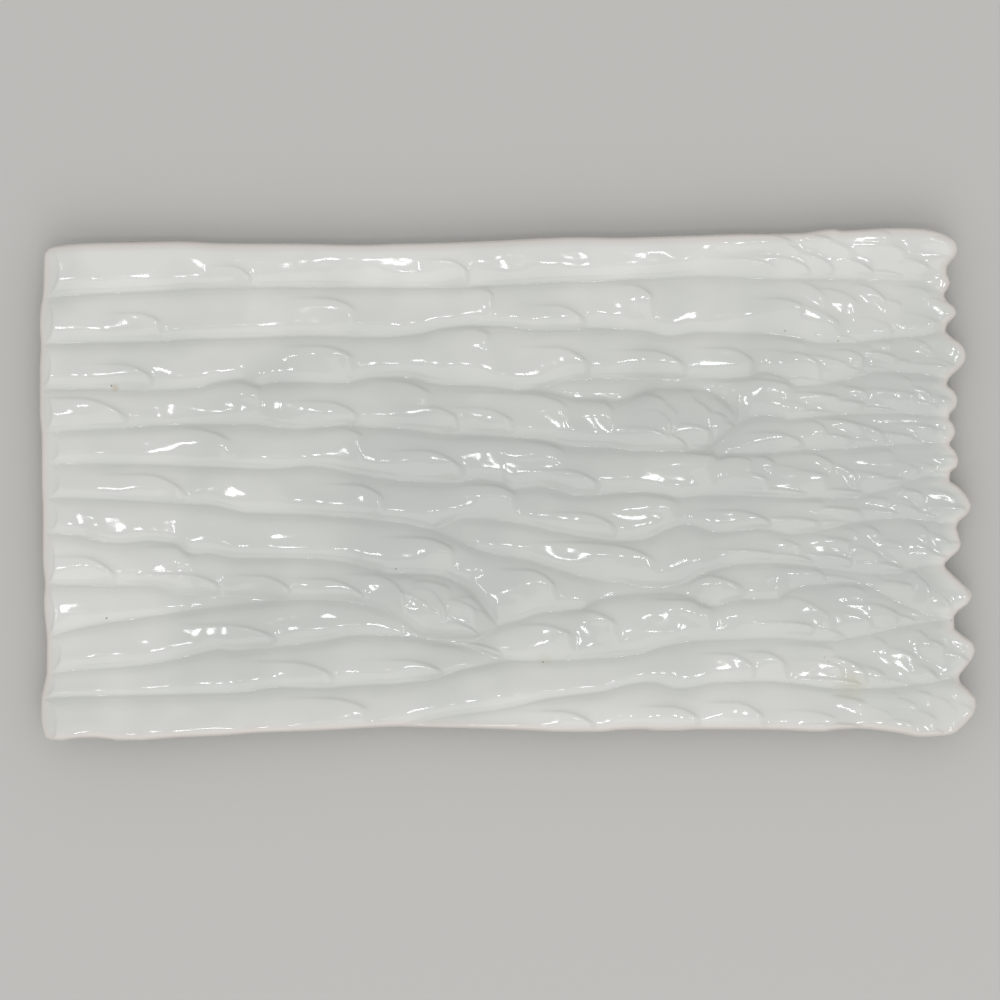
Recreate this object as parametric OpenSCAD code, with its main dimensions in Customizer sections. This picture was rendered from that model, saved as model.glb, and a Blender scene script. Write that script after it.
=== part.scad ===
/* [Plate] */
// Length of the plate, from the cut stems to the furthest tip
plate_l = 380; // [320:1:480]
// Width of the plate, across the spears
plate_w = 208; // [176:1:260]
// Thickness of the slab that carries the spears
slab_t = 4.5; // [3:0.1:8]
// Height that the long edges rise above the flat middle
side_rise = 5; // [1:0.1:12]
// Height that the two ends rise above the flat middle
end_rise = 3; // [1:0.1:10]
// How far the slab stays inside the spears' outline, all round
rim_inset = 1.5; // [0.5:0.1:3]

/* [Spears] */
// Height of a spear's side wall, from the slab up to the valley
valley_h = 1.5; // [0.8:0.1:4]
// Height of a full-width spear's crest above its valleys
crest_h = 5.5; // [3:0.1:9]
// Gap between neighbouring spears, which the glaze fills
seam = 0.2; // [0.1:0.05:0.5]
// Gap between the slab and the spears' undersides, which the slip fills
bed = 0.15; // [0.1:0.05:0.5]
// Length of the sloping cut at the stem ends
cut_l = 7; // [3:0.5:12]

/* [Foot] */
// Height of the foot ring
foot_h = 4; // [2:0.1:10]
// Length of the foot ring
foot_l = 244; // [160:1:280]
// Width of the foot ring
foot_w = 116; // [80:1:140]
// Width of the foot ring's rail
foot_rail = 7; // [4:0.5:15]
// Radius of the foot ring's outer corners
foot_r = 20; // [16:1:38]
// Flat margin of the slab round the foot ring
foot_margin = 4; // [2:0.5:10]

/* [Hidden] */

glaze = [0.86, 0.86, 0.84];
bare_clay = [0.88, 0.84, 0.78];

// The slab is flat over the foot ring and rises outside it
flat_l = foot_l + 2 * foot_margin;
flat_w = foot_w + 2 * foot_margin;
// Twelve stems lie side by side at the cut end
spear_pitch = plate_w / 12;

// Every line below is a row of points, each a share of the plate's length from
// the cut end and a share of its width from the front edge.
// Outline of the two long edges
back_edge_shares = [
    [0, 0.955], [0.03, 0.971], [0.12, 0.975], [0.19, 0.971], [0.385, 0.971],
    [0.49, 0.977], [0.57, 0.982], [0.69, 0.984], [0.76, 0.99], [0.83, 0.997],
    [0.92, 1], [0.95, 0.996], [0.97, 0.99]
];
front_edge_shares = [
    [0, 0.006], [0.02, 0], [0.06, 0.008], [0.12, 0.004], [0.17, 0.012],
    [0.28, 0.018], [0.385, 0.029], [0.44, 0.025], [0.52, 0.021], [0.6, 0.019],
    [0.69, 0.021], [0.81, 0.021], [0.865, 0.025], [0.92, 0.018], [0.945, 0.01],
    [0.97, 0.014]
];

// Scalloped edge at the tips, from front to back: notches and tips in turn
tip_edge_shares = [
    [0.976, 0.012], [1, 0.076], [0.981, 0.123], [0.999, 0.177], [0.975, 0.232],
    [0.995, 0.285], [0.967, 0.343], [0.982, 0.382], [0.978, 0.423], [0.994, 0.46],
    [0.971, 0.515], [0.981, 0.548], [0.971, 0.581], [0.978, 0.605], [0.971, 0.63],
    [0.98, 0.667], [0.97, 0.704], [0.988, 0.75], [0.967, 0.801], [0.979, 0.834],
    [0.965, 0.869], [0.971, 0.893], [0.967, 0.914], [0.979, 0.957], [0.964, 0.992]
];

// Valleys between the spears, from the back to the front
valley_1_shares = [
    [0, 0.862], [0.09, 0.869], [0.18, 0.879], [0.28, 0.881], [0.41, 0.879],
    [0.515, 0.887], [0.6, 0.893], [0.705, 0.903], [0.8, 0.897], [0.865, 0.897],
    [0.92, 0.895], [0.94, 0.893]
];
above_hidden_tip_shares = concat(valley_1_shares, [[0.965, 0.914]]);
below_hidden_tip_shares = concat(valley_1_shares, [[0.965, 0.869]]);

valley_2_shares = [
    [0, 0.772], [0.12, 0.774], [0.18, 0.78], [0.28, 0.786], [0.36, 0.784],
    [0.43, 0.799], [0.46, 0.805], [0.489, 0.805], [0.54, 0.797], [0.6, 0.8],
    [0.67, 0.796], [0.705, 0.793], [0.77, 0.79], [0.83, 0.772], [0.865, 0.772],
    [0.94, 0.788], [0.967, 0.801]
];

valley_3_stem_shares = [
    [0, 0.684], [0.12, 0.68], [0.15, 0.682], [0.18, 0.694], [0.28, 0.696],
    [0.32, 0.694], [0.36, 0.705], [0.43, 0.692], [0.489, 0.684], [0.515, 0.677]
];
valley_3_tip_shares = [
    [0.54, 0.688], [0.57, 0.7], [0.6, 0.704], [0.745, 0.704], [0.77, 0.715],
    [0.8, 0.7], [0.83, 0.69], [0.865, 0.703], [0.89, 0.717], [0.94, 0.713],
    [0.97, 0.704]
];

// The short spear whose head lies on its neighbours
head_4_back_shares = [
    [0.54, 0.676], [0.57, 0.667], [0.6, 0.661], [0.64, 0.672], [0.67, 0.684],
    [0.705, 0.68], [0.725, 0.664], [0.737, 0.646], [0.745, 0.628]
];
valley_4_shares = [
    [0, 0.6], [0.05, 0.604], [0.12, 0.61], [0.24, 0.614], [0.28, 0.602],
    [0.32, 0.613], [0.385, 0.608], [0.43, 0.596], [0.515, 0.587], [0.54, 0.573],
    [0.6, 0.575], [0.64, 0.561], [0.705, 0.563]
];
head_4_front_shares = [[0.725, 0.577], [0.737, 0.6], [0.745, 0.626]];

valley_under_5_shares = [
    [0.77, 0.626], [0.8, 0.626], [0.865, 0.634], [0.92, 0.635], [0.971, 0.63]
];
valley_under_6_shares = [
    [0.725, 0.556], [0.77, 0.558], [0.8, 0.563], [0.865, 0.567], [0.92, 0.575],
    [0.971, 0.581]
];

valley_7_shares = [
    [0, 0.54], [0.09, 0.536], [0.18, 0.532], [0.24, 0.527], [0.28, 0.531],
    [0.32, 0.522], [0.385, 0.505], [0.43, 0.501], [0.46, 0.506], [0.515, 0.497],
    [0.57, 0.478], [0.64, 0.481], [0.705, 0.476], [0.8, 0.47], [0.865, 0.47],
    [0.89, 0.48], [0.92, 0.5], [0.94, 0.512], [0.971, 0.515]
];

valley_8_stem_shares = [
    [0, 0.472], [0.05, 0.469], [0.15, 0.46], [0.21, 0.444], [0.28, 0.438],
    [0.32, 0.434], [0.385, 0.423], [0.43, 0.404]
];
valley_8_tip_shares = [
    [0.46, 0.43], [0.489, 0.427], [0.515, 0.421], [0.57, 0.4], [0.6, 0.39],
    [0.64, 0.392], [0.67, 0.412], [0.705, 0.418], [0.725, 0.408], [0.77, 0.411],
    [0.8, 0.4], [0.83, 0.407], [0.865, 0.421], [0.92, 0.431], [0.978, 0.423]
];
valley_9_shares = [
    [0.46, 0.376], [0.489, 0.362], [0.515, 0.353], [0.54, 0.338], [0.57, 0.324],
    [0.6, 0.31], [0.64, 0.3], [0.67, 0.296], [0.705, 0.316], [0.745, 0.342],
    [0.8, 0.339], [0.865, 0.326], [0.92, 0.332], [0.967, 0.343]
];

// The short spear at the front, and the wedge and stem that it lies on
valley_10_shares = [
    [0, 0.405], [0.05, 0.396], [0.09, 0.382], [0.12, 0.385], [0.15, 0.379],
    [0.18, 0.366], [0.21, 0.355], [0.28, 0.353], [0.32, 0.347], [0.36, 0.331],
    [0.41, 0.324], [0.43, 0.318], [0.46, 0.29], [0.478, 0.25], [0.489, 0.224]
];
valley_11_shares = [
    [0, 0.306], [0.05, 0.3], [0.12, 0.298], [0.15, 0.286], [0.21, 0.279],
    [0.28, 0.273]
];
head_11_front_shares = [
    [0.36, 0.263], [0.385, 0.236], [0.41, 0.203], [0.43, 0.197], [0.46, 0.197],
    [0.478, 0.208], [0.489, 0.221]
];
valley_12_shares = [
    [0, 0.2], [0.05, 0.218], [0.12, 0.236], [0.18, 0.254], [0.24, 0.266],
    [0.28, 0.272]
];
spear_13_back_shares = [
    [0.515, 0.23], [0.54, 0.245], [0.57, 0.252], [0.6, 0.275], [0.64, 0.282],
    [0.67, 0.285], [0.705, 0.275], [0.725, 0.27], [0.77, 0.273], [0.8, 0.288],
    [0.83, 0.302], [0.865, 0.306], [0.89, 0.292], [0.92, 0.27], [0.94, 0.246],
    [0.975, 0.234]
];

valley_13_shares = [
    [0, 0.13], [0.05, 0.136], [0.12, 0.146], [0.18, 0.169], [0.24, 0.177],
    [0.28, 0.186], [0.32, 0.195], [0.36, 0.203], [0.41, 0.197], [0.43, 0.19],
    [0.46, 0.186], [0.489, 0.17]
];
valley_14_shares = [
    [0, 0.081], [0.09, 0.085], [0.18, 0.09], [0.24, 0.098], [0.28, 0.1],
    [0.36, 0.107], [0.41, 0.115], [0.43, 0.125], [0.46, 0.142], [0.489, 0.15]
];
valley_14_tip_shares = [
    [0.515, 0.154], [0.57, 0.156], [0.6, 0.158], [0.64, 0.168], [0.67, 0.18],
    [0.705, 0.192], [0.77, 0.196], [0.83, 0.192], [0.865, 0.198], [0.89, 0.21],
    [0.92, 0.22], [0.94, 0.228], [0.975, 0.232]
];
valley_15_shares = [
    [0.515, 0.13], [0.54, 0.108], [0.57, 0.092], [0.6, 0.096], [0.64, 0.108],
    [0.67, 0.105], [0.705, 0.104], [0.77, 0.113], [0.83, 0.102], [0.89, 0.1],
    [0.94, 0.112], [0.981, 0.123]
];

// Places along the plate where a spear has a ring of points
station_shares = [
    0.05, 0.09, 0.12, 0.15, 0.18, 0.21, 0.24, 0.28, 0.32, 0.36, 0.385, 0.41,
    0.43, 0.46, 0.478, 0.489, 0.515, 0.54, 0.57, 0.6, 0.64, 0.67, 0.705, 0.725,
    0.737, 0.745, 0.77, 0.8, 0.83, 0.865, 0.89, 0.92, 0.94
];
// Where the valleys run out between two tips, on average
notch_share = 0.97;
// Fewer places for the slab, which is straight along its middle
slab_station_shares = [0.03, 0.07, 0.12, 0.18, 0.3, 0.7, 0.82, 0.88, 0.92, 0.95];

// How far the last rings go from the last place to the tip, and how high they are
tip_ring_shares = [0.45, 0.8, 1];
tip_height_shares = [0.9, 0.7, 0.4];
// Height that a cut stem keeps at its very end
cut_height_share = 0.35;
// A spear's height follows its width, up to the widest one
height_limit_share = 1.12;
height_power = 0.8;
// Rounding of the crest: 1 is a sine arch, less is fuller
crest_power = 0.75;

// Points across a spear, over its crest and along its underside
crest_steps = 6;
base_steps = 3;
// Points on the slab's edge between a notch and a tip
scallop_steps = 2;
// Smoothness of the foot ring's corners
round_fn = 64;

// Height of the slab's top above its flat middle
function rise(x, y) =
    side_rise * pow(max(0, abs(y) - flat_w / 2) / (plate_w / 2 - flat_w / 2), 2)
    + end_rise * pow(max(0, abs(x) - flat_l / 2) / (plate_l / 2 - flat_l / 2), 2);

function slab_top(x, y) = foot_h + slab_t + rise(x, y);

function x_at(share) = (share - 0.5) * plate_l;
function y_at(share) = (share - 0.5) * plate_w;

// The tips' edge at a share of the width: sharp in the notches, round at the tips
function scallop(share, k) =
    let (a = tip_edge_shares[k], b = tip_edge_shares[k + 1])
    let (t = (share - a.y) / (b.y - a.y))
    a.x < b.x ? a.x + (b.x - a.x) * sin(90 * t)
              : b.x + (a.x - b.x) * sin(90 * (1 - t));

function tip_edge(share, k = 0) =
    share <= tip_edge_shares[0].y ? tip_edge_shares[0].x
    : k == len(tip_edge_shares) - 1 ? tip_edge_shares[k].x
    : share <= tip_edge_shares[k + 1].y ? scallop(share, k)
    : tip_edge(share, k + 1);

// Triangles of a skin over rings of n points each. Both ends are closed by a fan
// from the point peak, on the crest, because points of the underside can lie in line.
function skin_faces(rings, n, peak) = concat(
    [for (i = [0:rings - 2], j = [0:n - 1], half = [0:1])
        let (a = i * n + j, b = i * n + (j + 1) % n)
        half == 0 ? [a, b, b + n] : [a, b + n, a + n]],
    [for (j = [1:n - 2]) let (a = peak + j, b = a + 1) [peak, b % n, a % n]],
    [for (j = [1:n - 2]) let (z = (rings - 1) * n, a = peak + j, b = a + 1)
        [z + peak, z + a % n, z + b % n]]
);

module skin(rings) {
    polyhedron(
        points = [for (ring = rings, p = ring) p],
        faces = skin_faces(len(rings), len(rings[0]), base_steps + 1 + crest_steps / 2)
    );
}

// One ring of a spear. ahead is how far it reaches from the share s to the tips.
function spear_ring(back, front, s, height_share, ahead) =
    let (end = s + ahead * (notch_share - s))
    let (low = y_at(lookup(end, front)) + seam / 2)
    let (high = y_at(lookup(end, back)) - seam / 2)
    let (width_share = min(height_limit_share, (high - low) / spear_pitch))
    let (crest = crest_h * height_share * pow(width_share, height_power))
    let (across = function(v) low + (high - low) * v)
    let (along = function(y)
        x_at(s + ahead * (tip_edge(y / plate_w + 0.5) - s)))
    let (point = function(y, above) [along(y), y, slab_top(along(y), y) + above])
    concat(
        [for (j = [0:base_steps]) point(across(1 - j / base_steps), bed)],
        [for (j = [0:crest_steps]) let (v = j / crest_steps)
            point(across(v), valley_h + crest * pow(sin(180 * v), crest_power))]
    );

// A spear between its back and front lines, from one share of the length to
// another, or on to the scalloped edge. lift makes it higher or lower.
module spear(back, front, from, to, cut = false, tip = false, lift = [[0, 1]]) {
    height = function(s) lookup(s, lift);
    cut_end = from + cut_l / plate_l;
    inner = [for (s = station_shares) if (s > (cut ? cut_end : from) && s < to) s];
    skin(concat(
        cut
            ? [spear_ring(back, front, from, cut_height_share, 0),
               spear_ring(back, front, cut_end, height(cut_end), 0)]
            : [spear_ring(back, front, from, height(from), 0)],
        [for (s = inner) spear_ring(back, front, s, height(s), 0)],
        [spear_ring(back, front, to, height(to), 0)],
        tip
            ? [for (i = [0:len(tip_ring_shares) - 1])
                spear_ring(back, front, to, height(to) * tip_height_shares[i],
                    tip_ring_shares[i])]
            : []
    ));
}

// One row of points across the slab, ahead as for a spear
function slab_row(s, ahead, below) =
    let (low = y_at(lookup(s, front_edge_shares)) + rim_inset)
    let (high = y_at(lookup(s, back_edge_shares)) - rim_inset)
    let (first = tip_edge_shares[0].y)
    let (last = tip_edge_shares[len(tip_edge_shares) - 1].y)
    [for (k = [0:len(tip_edge_shares) - 2], j = [0:scallop_steps - 1])
        let (a = tip_edge_shares[k].y, b = tip_edge_shares[k + 1].y)
        slab_point(s, ahead, below, low, high,
            (a + (b - a) * j / scallop_steps - first) / (last - first)),
     slab_point(s, ahead, below, low, high, 1)];

function slab_point(s, ahead, below, low, high, v) =
    let (y = low + (high - low) * v)
    let (edge = tip_edge(y / plate_w + 0.5) - rim_inset / plate_l)
    let (x = x_at(s + ahead * (edge - s)))
    [x, y, slab_top(x, y) - below];

function reversed(row) = [for (i = [len(row) - 1:-1:0]) row[i]];

function slab_ring(s, ahead) =
    concat(reversed(slab_row(s, ahead, slab_t)), slab_row(s, ahead, 0));

// The slab's ends are closed by triangles between its top and bottom rows
function slab_faces(rings, n) =
    let (half = n / 2, z = (rings - 1) * n)
    concat(
        [for (i = [0:rings - 2], j = [0:n - 1], part = [0:1])
            let (a = i * n + j, b = i * n + (j + 1) % n)
            part == 0 ? [a, b, b + n] : [a, b + n, a + n]],
        [for (j = [0:half - 2], part = [0:1])
            part == 0 ? [j, n - 2 - j, j + 1] : [j, n - 1 - j, n - 2 - j]],
        [for (j = [0:half - 2], part = [0:1])
            part == 0 ? [z + j, z + j + 1, z + n - 2 - j]
                      : [z + j, z + n - 2 - j, z + n - 1 - j]]
    );

// Slab that follows the plate's outline and its gentle dish
module plate_body() {
    rings = concat(
        [slab_ring(rim_inset / plate_l, 0)],
        [for (s = slab_station_shares) slab_ring(s, 0)],
        [slab_ring(slab_station_shares[len(slab_station_shares) - 1], 1)]
    );
    color(glaze)
        polyhedron(
            points = [for (ring = rings, p = ring) p],
            faces = slab_faces(len(rings), len(rings[0]))
        );
}

// Rectangle with round corners, drawn from true circles
module round_rectangle(l, w, r) {
    square([l - 2 * r, w], center = true);
    square([l, w - 2 * r], center = true);
    for (side = [-1, 1], end = [-1, 1])
        translate([end * (l / 2 - r), side * (w / 2 - r)]) circle(r = r, $fn = round_fn);
}

// Unglazed ring that the plate stands on
module foot_ring() {
    color(bare_clay) linear_extrude(height = foot_h) difference() {
        round_rectangle(foot_l, foot_w, foot_r);
        round_rectangle(foot_l - 2 * foot_rail, foot_w - 2 * foot_rail, foot_r - foot_rail);
    }
}

// Spears from the back edge to the front edge
module spear_01() {
    color(glaze) spear(back_edge_shares, above_hidden_tip_shares, 0.006, 0.94,
        cut = true, tip = true);
}

// Tip of a spear that the first two hide
module spear_02() {
    color(glaze) spear(above_hidden_tip_shares, below_hidden_tip_shares, 0.948, 0.958,
        tip = true);
}

module spear_03() {
    color(glaze) spear(below_hidden_tip_shares, valley_2_shares, 0.003, 0.94,
        cut = true, tip = true);
}

module spear_04() {
    color(glaze) spear(valley_2_shares, concat(valley_3_stem_shares, valley_3_tip_shares),
        0.001, 0.94, cut = true, tip = true);
}

// Short spear that lies on its neighbours, with its head on top
module spear_05() {
    color(glaze) spear(concat(valley_3_stem_shares, head_4_back_shares),
        concat(valley_4_shares, head_4_front_shares), 0.001, 0.743, cut = true,
        lift = [[0.5, 1], [0.67, 1.15], [0.74, 1.5]]);
}

// Spear that comes out from under the short one
module spear_06() {
    color(glaze) spear(concat(valley_3_stem_shares, valley_3_tip_shares),
        concat(valley_3_stem_shares, head_4_back_shares, valley_under_5_shares),
        0.53, 0.94, tip = true);
}

module spear_07() {
    color(glaze) spear(
        concat(valley_4_shares, head_4_front_shares, valley_under_5_shares),
        concat(valley_4_shares, valley_under_6_shares), 0.715, 0.94, tip = true);
}

module spear_08() {
    color(glaze) spear(concat(valley_4_shares, valley_under_6_shares), valley_7_shares,
        0.003, 0.94, cut = true, tip = true);
}

module spear_09() {
    color(glaze) spear(valley_7_shares, concat(valley_8_stem_shares, valley_8_tip_shares),
        0.004, 0.94, cut = true, tip = true);
}

// Spear that comes out below the ninth
module spear_10() {
    color(glaze) spear(concat(valley_8_stem_shares, valley_8_tip_shares),
        concat(valley_8_stem_shares, valley_9_shares), 0.44, 0.94, tip = true);
}

// Stem that sweeps forward and runs on to the edge between its neighbours
module spear_11() {
    color(glaze) spear(concat(valley_8_stem_shares, valley_9_shares),
        concat(valley_10_shares, spear_13_back_shares), 0.005, 0.94,
        cut = true, tip = true);
}

// Short spear at the front, with its head on top
module spear_12() {
    color(glaze) spear(valley_10_shares, concat(valley_11_shares, head_11_front_shares),
        0.006, 0.487, cut = true, lift = [[0.3, 1], [0.43, 1.1], [0.48, 1.5]]);
}

// Wedge of a stem that runs under the short spear
module spear_13() {
    color(glaze) spear(valley_11_shares, valley_12_shares, 0.006, 0.27, cut = true);
}

// Spear under the short one, whose head ends just inside the edge
module spear_14() {
    color(glaze) spear(concat(valley_12_shares, head_11_front_shares, spear_13_back_shares),
        concat(valley_13_shares, valley_14_tip_shares), 0.008, 0.96, cut = true);
}

module spear_15() {
    color(glaze) spear(valley_13_shares, valley_14_shares, 0.008, 0.489, cut = true);
}

// Spear that comes out beside the front one
module spear_16() {
    color(glaze) spear(concat(valley_14_shares, valley_14_tip_shares),
        concat(valley_14_shares, valley_15_shares), 0.5, 0.94, tip = true);
}

module spear_17() {
    color(glaze) spear(concat(valley_14_shares, valley_15_shares), front_edge_shares,
        0.006, 0.94, cut = true, tip = true);
}

plate_body();
foot_ring();
spear_01();
spear_02();
spear_03();
spear_04();
spear_05();
spear_06();
spear_07();
spear_08();
spear_09();
spear_10();
spear_11();
spear_12();
spear_13();
spear_14();
spear_15();
spear_16();
spear_17();
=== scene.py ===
# Asparagus plate: slip-cast earthenware under a clear white glaze.
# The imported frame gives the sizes, and every piece below is worked out with numpy around it.
import math
from functools import partial

import bpy
import numpy as np
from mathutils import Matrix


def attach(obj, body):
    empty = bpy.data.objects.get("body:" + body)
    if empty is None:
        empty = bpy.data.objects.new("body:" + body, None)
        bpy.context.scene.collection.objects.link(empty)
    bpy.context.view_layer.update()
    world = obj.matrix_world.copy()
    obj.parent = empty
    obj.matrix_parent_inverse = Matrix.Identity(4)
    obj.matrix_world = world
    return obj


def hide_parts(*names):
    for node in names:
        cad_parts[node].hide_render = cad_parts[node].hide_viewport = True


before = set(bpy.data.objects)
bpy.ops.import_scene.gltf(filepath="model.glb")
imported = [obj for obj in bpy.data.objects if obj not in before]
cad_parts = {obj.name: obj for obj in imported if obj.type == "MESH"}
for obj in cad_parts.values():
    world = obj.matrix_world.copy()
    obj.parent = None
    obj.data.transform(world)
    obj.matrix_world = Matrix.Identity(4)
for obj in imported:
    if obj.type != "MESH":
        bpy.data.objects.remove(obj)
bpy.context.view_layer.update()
mm = 0.001
print("frame loaded:", len(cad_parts), "nodes")

# Where the plate lies in the photograph, in pixels of its frame of 1000 by 1000
photo = {"left": 38, "right": 977, "back": 228, "front": 741, "centre": 500, "size": 1000}

# Driving sizes in millimetres
plate = {
    "length": 380, "width": 208,
    "slab": 4.5,        # clay under the spears
    "foot": 4,          # height of the foot ring
    "sideRise": 5,      # dish, at the long edges
    "endRise": 3,       # dish, at the two ends
    "flatLength": 252, "flatWidth": 124,
    "valley": 2.0,      # valley floor above the slab
    "rim": 1.5,         # how far in the top rolls over to the edge
    "edgeDrop": 3.7,    # from the valley floor to the middle of the edge
    "edgeRadius": 3.0,  # rounding of the edge underneath
}

pxMm = plate["length"] / (photo["right"] - photo["left"])
midX = (photo["left"] + photo["right"]) / 2
midY = (photo["back"] + photo["front"]) / 2


def fromPhotoX(px):
    return (px - midX) * pxMm


def fromPhotoY(py):
    return (midY - py) * pxMm


def toPhotoX(x):
    return x / pxMm + midX


def toPhotoY(y):
    return midY - y / pxMm


# Valleys and edges, traced as pixels of the photograph, from the cut stems to the tips
lines = {
    "back": [(36, 252.5), (42, 251.8), (47, 250), (53, 247), (60, 245.6), (80, 243.5), (100, 242.6),
        (140, 241.8), (180, 241.1), (220, 242.7), (240, 242.9), (300, 243.2), (360, 244.3), (400, 243.2),
        (440, 242.3), (480, 240.9), (500, 240), (540, 238), (580, 236.8), (620, 237.3), (660, 236.2),
        (700, 235), (740, 233.7), (780, 233.5), (800, 232.9), (820, 230.2), (832, 229), (842, 230.3),
        (860, 229.6), (880, 228.3), (900, 228), (920, 228.8), (930, 230.3), (937, 232), (945, 235),
        (950.5, 238), (957, 240.3), (966, 242)],
    "front": [(36, 736), (41, 736.5), (46, 737.5), (52, 739.6), (62, 740.5), (80, 738.3), (95, 738),
        (105, 738.8), (120, 740.6), (140, 740.6), (160, 739.2), (180, 737.7), (200, 737), (220, 736.1),
        (240, 734.5), (260, 733.1), (300, 731.7), (340, 730), (360, 728.7), (380, 727.6), (400, 727.1),
        (440, 728), (500, 729.5), (540, 731.3), (560, 732.2), (580, 732.4), (600, 732.2), (620, 730.4),
        (640, 729.7), (660, 731), (680, 730.8), (700, 729.8), (760, 730.1), (780, 730.4), (800, 731.3),
        (820, 732), (840, 729.9), (860, 729.2), (880, 730.8), (900, 733.6), (920, 737), (940, 736),
        (950, 734.5), (955, 732.5), (962, 727), (968, 724.5), (975, 723.5)],
    "valley1": [(36, 300), (80, 297), (120, 295), (160, 293), (200, 290), (300, 289), (420, 290),
        (470, 289), (520, 286), (560, 284), (600, 283), (660, 280), (700, 278), (740, 279), (780, 281),
        (860, 281), (911, 282), (915, 282)],
    "hiddenTipBack": [(925, 279), (935, 275), (946, 272), (960, 270)],
    "hiddenTipFront": [(925, 286), (935, 291), (944, 295), (960, 297)],
    "valley2": [(36, 345), (80, 345), (140, 344), (200, 341), (250, 340), (300, 338), (380, 339),
        (420, 336), (440, 331), (475, 328), (500, 328), (540, 332), (560, 332), (590, 330), (640, 332),
        (670, 338), (700, 334), (740, 335), (770, 336), (800, 341), (820, 345), (850, 345), (880, 341),
        (920, 337), (946, 331), (965, 329)],
    "valley3Stem": [(36, 390), (100, 391), (140, 392), (180, 391), (200, 389), (220, 384), (240, 382),
        (260, 387), (275, 384), (300, 384), (340, 385), (380, 379), (400, 379), (440, 386), (480, 388),
        (500, 390), (511, 392), (515, 393)],
    "valley3Tip": [(545, 388), (570, 382), (600, 380), (700, 380), (740, 380), (765, 374), (785, 380),
        (798, 388), (830, 385), (850, 380), (880, 373), (920, 375), (949, 380), (970, 382)],
    "head5Back": [(530, 393), (545, 394), (560, 397), (575, 400.5), (590, 401), (603, 402), (616, 403),
        (627, 400), (640, 395), (660, 390), (690, 391), (710, 394), (722, 401), (730, 408), (736, 417),
        (739, 425)],
    "valley4": [(36, 433), (100, 431), (160, 428), (250, 426), (300, 431), (325, 429), (350, 427.5),
        (366, 429), (380, 429.5), (400, 430), (440, 435), (480, 437), (520, 440), (542, 442.5),
        (555, 445), (568, 447.5), (580, 448), (590, 448), (610, 449), (640, 453), (700, 452), (706, 451),
        (709, 450)],
    "head5Front": [(720, 443), (730, 434), (736, 428), (739, 425)],
    "under6": [(742, 423.3), (747, 420.5), (755, 417.8), (765, 417), (780, 418.5), (789, 421.5),
        (800, 420.5), (850, 416), (900, 415), (950, 418), (965, 419)],
    "under7": [(718, 458), (730, 456), (750, 456), (800, 452), (850, 450), (900, 446), (950, 443),
        (965, 442)],
    "valley7": [(36, 464), (120, 466), (200, 468), (270, 471), (310, 468), (350, 474), (400, 482),
        (450, 484), (480, 481), (500, 484), (515, 491), (528, 489), (540, 488), (580, 497), (640, 494.5),
        (660, 496.5), (678, 499), (690, 498.5), (700, 497), (740, 497), (800, 500), (850, 500),
        (870, 495), (890, 490), (905, 484), (925, 477), (950, 477), (965, 477)],
    "valley8Stem": [(36, 499), (60, 499), (100, 501), (180, 505), (210, 507), (250, 515), (300, 516),
        (350, 519), (400, 524), (426, 530), (430, 531)],
    "valley8Tip": [(450, 524), (465, 520), (480, 520), (520, 525), (560, 534), (600, 541), (625, 543),
        (645, 541), (665, 532), (685, 526), (720, 534), (760, 530), (790, 536), (820, 532), (850, 525),
        (900, 520), (956, 524), (975, 525)],
    "valley9": [(440, 535), (460, 543), (480, 552), (520, 560), (560, 572), (600, 582), (620, 584),
        (640, 587), (660, 588), (680, 586), (700, 577), (740, 566), (770, 565), (800, 567), (840, 572),
        (870, 575), (898, 575), (910, 570), (930, 566), (946, 565), (970, 564)],
    "valley10": [(36, 532), (60, 535), (80, 538), (100, 543), (120, 545), (150, 543), (175, 546),
        (192, 556), (205, 555), (240, 560), (300, 560), (340, 563), (375, 571), (390, 576), (420, 576),
        (440, 578), (455, 583), (468, 591), (478, 601), (487, 613), (495, 623), (498, 628)],
    "valley11": [(36, 582), (60, 586), (80, 587), (150, 588), (185, 596), (240, 598), (296, 601),
        (300, 601)],
    "head12Front": [(304, 601), (345, 602), (360, 604), (375, 609), (388, 615), (400, 623), (412, 632),
        (425, 638), (440, 640), (470, 640), (485, 636), (494, 631), (498, 628)],
    "valley12": [(36, 642), (66, 633), (100, 626), (140, 620), (180, 614), (220, 608), (260, 604),
        (292, 601.6), (300, 601)],
    "spear14Back": [(500, 627.4), (508, 625), (520, 622), (540, 615), (560, 613), (580, 611), (600, 601),
        (620, 597), (640, 595.5), (670, 595), (690, 599), (704, 606), (716, 608), (728, 603), (740, 601),
        (775, 601), (790, 592), (810, 587), (850, 585), (868, 588), (880, 594), (895, 603), (915, 611),
        (935, 617), (954, 620), (975, 621)],
    "valley13": [(36, 676), (60, 673), (80, 671), (120, 669), (160, 664), (200, 655), (218, 651),
        (235, 652), (255, 650), (280, 648), (320, 643), (360, 637), (400, 638), (440, 644), (460, 647),
        (480, 653), (500, 659), (515, 662)],
    "valley14": [(36, 699), (70, 698), (150, 697), (240, 694), (280, 689), (320, 690), (360, 687),
        (400, 685), (440, 678), (460, 672), (480, 668), (496, 664.7), (500, 664)],
    "valley14Tip": [(530, 662.5), (560, 662), (600, 660), (640, 655), (665, 648), (690, 643), (740, 641),
        (780, 640), (820, 643), (850, 640), (880, 633), (900, 628), (935, 622), (954, 620), (975, 619)],
    "seam15": [(512, 672), (525, 690), (543, 701)],
    "stem15": [(36, 738.5), (62, 742), (95, 740.5), (130, 743), (160, 741.7), (200, 739.5), (240, 737),
        (300, 734.2), (340, 732.5), (380, 730.3), (405, 727.5), (430, 720.5), (452, 716.5), (500, 710.5),
        (543, 701)],
    "valley15": [(560, 698.5), (602, 693.5), (620, 688.5), (650, 684), (680, 690), (720, 684), (760, 683),
        (800, 686), (830, 690), (880, 690), (930, 683), (959, 678), (980, 677)],
}

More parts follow.
